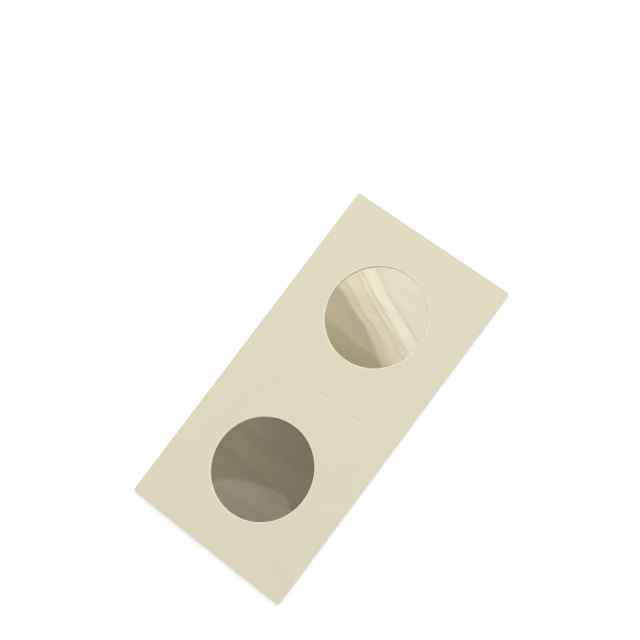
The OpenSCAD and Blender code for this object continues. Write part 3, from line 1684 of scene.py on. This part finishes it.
@dataclass
class FilmDust:
    """Dust that lies on the film in the windows.

    Args:
        sizes: The flip's main sizes.
        finish: What it looks like.
        each: How many specks lie on a square metre.
        smallest: Radius of the smallest speck.
        largest: Radius of the largest.
        rarity: How rare the larger ones are, as a power.
        long: How much longer than wide a speck is, at least and at most.
        flat: Its height, as a share of its width.
        heading: How far it may be turned about Z, in radians.
        margin: How far it stays from a window's edge.
        up: How far a face must look up to hold dust, from 0 to 1.
        seed: Which places the specks take.
    """

    sizes: FlipSizes
    finish: SpeckFinish
    each: float = 90000.0
    smallest: float = 0.012 * MM
    largest: float = 0.05 * MM
    rarity: float = 3.0
    long: Span = (0.8, 2.6)
    flat: float = 0.6
    heading: float = 6.28
    margin: float = 0.4 * MM
    up: float = 0.5
    seed: int = 5

    def tree(self) -> Growth:
        """Strews specks over the film's upper side inside a circle.

        Returns:
            The tree.
        """
        inputs = {"Film": "Object", "Centre": "Vector", "Radius": "Float", "Density": "Float", "Seed": "Int"}
        tree = Growth("dust_on_film", **inputs)
        film = tree.node("GeometryNodeObjectInfo", None, {"Object": tree.given("Film")}, "Geometry")
        flat = tree.vector("MULTIPLY", tree.node("GeometryNodeInputPosition"), (1.0, 1.0, 0.0))
        away = tree.vector("DISTANCE", flat, tree.given("Centre"), out="Value")
        upward = tree.math("GREATER_THAN", tree.part(tree.node("GeometryNodeInputNormal"), "Z"), self.up)
        area = {
            "Mesh": film,
            "Selection": tree.math("LESS_THAN", away, tree.given("Radius")) * upward,
            "Density": tree.given("Density"),
            "Seed": tree.given("Seed"),
        }
        random = {"distribute_method": "RANDOM"}
        points = tree.node("GeometryNodeDistributePointsOnFaces", random, area, "Points")
        speck = tree.node("GeometryNodeMeshIcoSphere", None, {"Radius": 1.0, "Subdivisions": 1})
        larger = tree.random(0.0, 1.0, Draw.SPECK_SIZE) ** self.rarity
        size = self.smallest + (self.largest - self.smallest) * larger
        turn = tree.place(0.0, 0.0, tree.random(0.0, self.heading, Draw.SPECK_HEADING))
        length = size * tree.random(*self.long, Draw.SPECK_LENGTH)
        tree.strew(points, speck, turn, tree.place(length, size, size * self.flat))
        return tree

    def build(self, film: bpy.types.Object) -> list[bpy.types.Object]:
        """Strews the dust.

        Args:
            film: The film.

        Returns:
            One piece for each leaf.
        """
        tree = self.tree()
        material = self.finish.material()
        made = []
        for leaf in Leaf:
            piece = tree.grow(
                f"film_dust_{leaf.name.lower()}",
                Film=film,
                Centre=(*self.sizes.window_centre(leaf), 0.0),
                Radius=self.sizes.window_r - self.margin,
                Density=self.each,
                Seed=self.seed + leaf.value,
                Material=material,
            )
            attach(piece, leaf.body)
            made.append(piece)
        return made


@dataclass(frozen=True)
class Panel:
    """A lit panel overhead, which the film mirrors.

    Args:
        name: Its name.
        size: Its width and depth.
        glare: Its power for each square metre of that width and depth, in watts.
        colour: Its colour.
        place: Where its centre hangs.
        shape: Its outline.
        turn: Its turn about Z, in radians.
    """

    name: str
    size: Span
    glare: float
    colour: Place
    place: Place = (0.0, 0.0, 0.0)
    shape: str = "RECTANGLE"
    turn: float = math.radians(-25)

    @classmethod
    def stack(cls, first: "Panel", below: Sequence["Panel"], gap: float) -> list["Panel"]:
        """Hangs panels one below the other.

        Args:
            first: The uppermost panel.
            below: The others, from the top down, whose own places aren't read.
            gap: Space between one and the next.

        Returns:
            All the panels, in their places.
        """
        made = [first]
        for panel in below:
            last = made[-1]
            shift = (last.size[1] + panel.size[1]) / 2 + gap
            x, y, z = last.place
            place = (x + shift * math.sin(last.turn), y - shift * math.cos(last.turn), z)
            made.append(replace(panel, place=place, turn=last.turn))
        return made


@dataclass
class Studio:
    """Pale floor, soft light from behind the back leaf, and the camera.

    Args:
        floor_z: Height of the floor, which clears the leaf that folds under.
        floor_half: Half the floor's width.
        floor_grey: How much light the floor scatters.
        floor_lift: Light that is added to the floor where it is seen.
        fill: Strength of the light from all round.
        key_from: Where the main lamp stands.
        key_size: Its width.
        key_power: Its power, in watts.
        pane: The uppermost of the panels that the back window mirrors.
        bands: The dimmer and dimmer panels below it.
        gap: Space between them.
        wash: A weaker panel above them, which ends askew.
        glow: The faint round panel that the front window mirrors.
        eye: Where the camera stands.
        forward: Which way it looks.
        upward: Which way its top points.
        lens: Its focal length, in millimetres, on a sensor 36 mm wide.
    """

    floor_z: float = -0.8 * MM
    floor_half: float = 2.0
    floor_grey: float = 0.80
    floor_lift: float = 0.36
    fill: float = 0.613
    key_from: Place = (0.105, 0.525, 0.54)
    key_size: float = 0.30
    key_power: float = 1.46
    pane: Panel = Panel("pane", (0.24, 0.12), 29.4, (1.0, 1.01, 0.81), (-0.2070, 0.1879, 0.80))
    bands: tuple[Panel, ...] = (
        Panel("bright_band", (0.24, 0.0117), 33.3, (1.0, 1.02, 0.82)),
        Panel("pale_cream_band", (0.24, 0.0052), 28.5, (1.0, 0.985, 0.72)),
        Panel("cream_band", (0.24, 0.0116), 25.9, (1.0, 0.96, 0.67)),
        Panel("deep_cream_band", (0.24, 0.0070), 20.9, (1.0, 0.94, 0.62)),
        Panel("olive_band", (0.24, 0.0440), 9.6, (1.0, 0.93, 0.48)),
    )
    gap: float = 0.0006
    wash: Panel = Panel(
        "wash", (0.24, 0.16), 5.7, (1.0, 0.78, 0.72), (-0.2358, 0.1665, 0.803), turn=math.radians(-5)
    )
    glow: Panel = Panel("glow", (0.12, 0.12), 3.1, (1.0, 1.04, 0.92), (-0.2207, -0.1075, 0.80), "DISK")
    eye: Place = (116.15 * MM, -17.91 * MM, 385.42 * MM)
    forward: Place = (-0.31473, 0.08248, -0.94559)
    upward: Place = (-0.55069, 0.79554, 0.25268)
    lens: float = 86.01

    @staticmethod
    def seen(tree: Tree) -> Wire:
        """Finds the rays that show a thing to the camera, straight or through gloss.

        Args:
            tree: The tree to build in.

        Returns:
            1 for those rays, and 0 for the others.
        """
        path = tree.node("ShaderNodeLightPath")
        straight = path.also("Is Camera Ray")
        return straight.most(path.also("Is Glossy Ray")).most(path.also("Is Transmission Ray"))

    def lamp(self, name: str, place: Place, size: Span, power: float, aim: Place) -> bpy.types.Object:
        """Hangs an area lamp.

        Args:
            name: Its name.
            place: Where it hangs.
            size: Its width and depth.
            power: Its power, in watts.
            aim: The point that it faces.

        Returns:
            The lamp.
        """
        light = bpy.data.lights.new(name, "AREA")
        light.shape = "RECTANGLE"
        light.size, light.size_y = size
        light.energy = power
        lamp = bpy.data.objects.new(name, light)
        lamp.location = place
        lamp.rotation_euler = (Vector(aim) - Vector(place)).to_track_quat("-Z", "Y").to_euler()
        bpy.context.scene.collection.objects.link(lamp)
        return lamp

    def hang(self, panel: Panel) -> None:
        """Hangs a panel, facing down.

        Args:
            panel: The panel.
        """
        x, y, _ = panel.place
        power = panel.glare * panel.size[0] * panel.size[1]
        lamp = self.lamp(panel.name, panel.place, panel.size, power, (x, y, 0.0))
        lamp.rotation_euler.rotate_axis("Z", panel.turn)
        lamp.data.color = panel.colour
        lamp.data.shape = panel.shape

    def floor(self) -> None:
        """Lays the floor, which looks white and keeps the shadow."""
        half = self.floor_half
        corners = [(-half, -half), (half, -half), (half, half), (-half, half)]
        mesh = bpy.data.meshes.new("floor")
        mesh.from_pydata([(x, y, self.floor_z) for x, y in corners], [], [(0, 1, 2, 3)])
        material = bpy.data.materials.new("pale_floor")
        material.use_nodes = True
        tree = Tree(material.node_tree)
        grey = (self.floor_grey,) * 3 + (1.0,)
        plain = tree.node("ShaderNodeBsdfDiffuse", None, {"Color": grey})
        glow = tree.node("ShaderNodeEmission", None, {"Color": (self.floor_lift,) * 3 + (1.0,)})
        lifted = tree.node("ShaderNodeAddShader", None, {0: plain, 1: glow})
        surface = tree.layer(self.seen(tree), plain, lifted)
        tree.node("ShaderNodeOutputMaterial", None, {"Surface": surface})
        mesh.materials.append(material)
        floor = bpy.data.objects.new("floor", mesh)
        bpy.context.scene.collection.objects.link(floor)

    def sky(self) -> None:
        """Sets the world: even light, and white where it is seen."""
        world = bpy.data.worlds.new("studio")
        world.use_nodes = True
        bpy.context.scene.world = world
        tree = Tree(world.node_tree)
        white = (1.0, 1.0, 1.0, 1.0)
        even = tree.node("ShaderNodeBackground", None, {"Color": white, "Strength": self.fill})
        shown = tree.node("ShaderNodeBackground", None, {"Color": white, "Strength": 1.0})
        tree.node("ShaderNodeOutputWorld", None, {"Surface": tree.layer(self.seen(tree), even, shown)})

    def camera(self) -> None:
        """Sets up the camera."""
        data = bpy.data.cameras.new("camera")
        data.lens = self.lens
        camera = bpy.data.objects.new("camera", data)
        forward = Vector(self.forward).normalized()
        right = forward.cross(Vector(self.upward)).normalized()
        turn = Matrix((right, right.cross(forward), -forward)).transposed()
        camera.matrix_world = Matrix.Translation(self.eye) @ turn.to_4x4()
        bpy.context.scene.collection.objects.link(camera)
        bpy.context.scene.camera = camera

    def build(self) -> None:
        """Sets up everything that isn't the flip."""
        bpy.context.scene.view_settings.view_transform = "Standard"
        self.floor()
        self.sky()
        self.lamp("key", self.key_from, (self.key_size,) * 2, self.key_power, (0.0, 0.0, 0.0))
        for panel in (*Panel.stack(self.pane, self.bands, self.gap), self.wash, self.glow):
            self.hang(panel)
        self.camera()


def main() -> None:
    """Builds the flip and the studio round it."""
    logging.basicConfig(level=logging.INFO, format="%(name)s: %(message)s")
    sizes = FlipSizes.from_frame()
    plan = Plan(sizes)
    card = CardBlank(plan, BoardFinish("cream_board")).build()
    film = FilmSheet(plan, FilmFinish("clear_film")).build()
    coat = AdhesiveCoat(plan, AdhesiveFinish("laminating_adhesive")).build()
    fibres = TornFibres(sizes, SpeckFinish("board_fibre")).build()
    dust = FilmDust(sizes, SpeckFinish("dust", light=(0.9, 0.9, 0.86, 1.0))).build(film)
    for piece in (card, film, coat, *fibres, *dust):
        LOG.info("%s is in place", piece.name)
    Studio().build()


if __name__ == "__main__":
    main()
